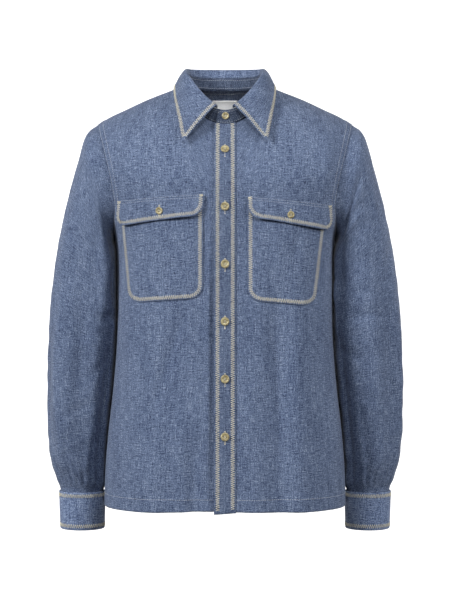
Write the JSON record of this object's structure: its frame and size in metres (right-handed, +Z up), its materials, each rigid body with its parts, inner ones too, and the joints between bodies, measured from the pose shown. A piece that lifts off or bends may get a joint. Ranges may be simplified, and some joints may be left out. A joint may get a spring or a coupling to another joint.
{
  "type": "shirt",
  "caption": "Chambray overshirt with shirt collar, buttoned placket, flapped chest pockets and cuffs, edges zigzag-stitched, filled out as if worn",
  "frame": {"origin": "On the shirt's middle plane at the height of the shoulder seams' neck ends, where the wearer's shoulders hold it", "axes": "+Z up, the wearer faces -Y, the wearer's left is +X"},
  "size_m": [0.6046, 0.3051, 0.7866],
  "materials": {
    "chambray": "matt, washed chambray with a slubbed weave",
    "tape": "matt white woven tape",
    "button": "satin, horn-like, mottled tan"
  },
  "bodies": {
    "root": {"left_front": "chambray", "right_front": "chambray", "placket": "chambray", "back": "chambray", "yoke": "chambray", "left_sleeve": "chambray", "right_sleeve": "chambray", "left_cuff": "chambray", "right_cuff": "chambray", "collar_stand": "chambray", "collar": "chambray", "left_pocket": "chambray", "right_pocket": "chambray", "left_flap": "chambray", "right_flap": "chambray", "neck_label": "tape", "collar_button": "button", "button_1": "button", "button_2": "button", "button_3": "button", "button_4": "button", "button_5": "button", "button_6": "button", "left_pocket_button": "button", "right_pocket_button": "button", "left_cuff_button": "button", "right_cuff_button": "button"}
  },
  "joints": []
}
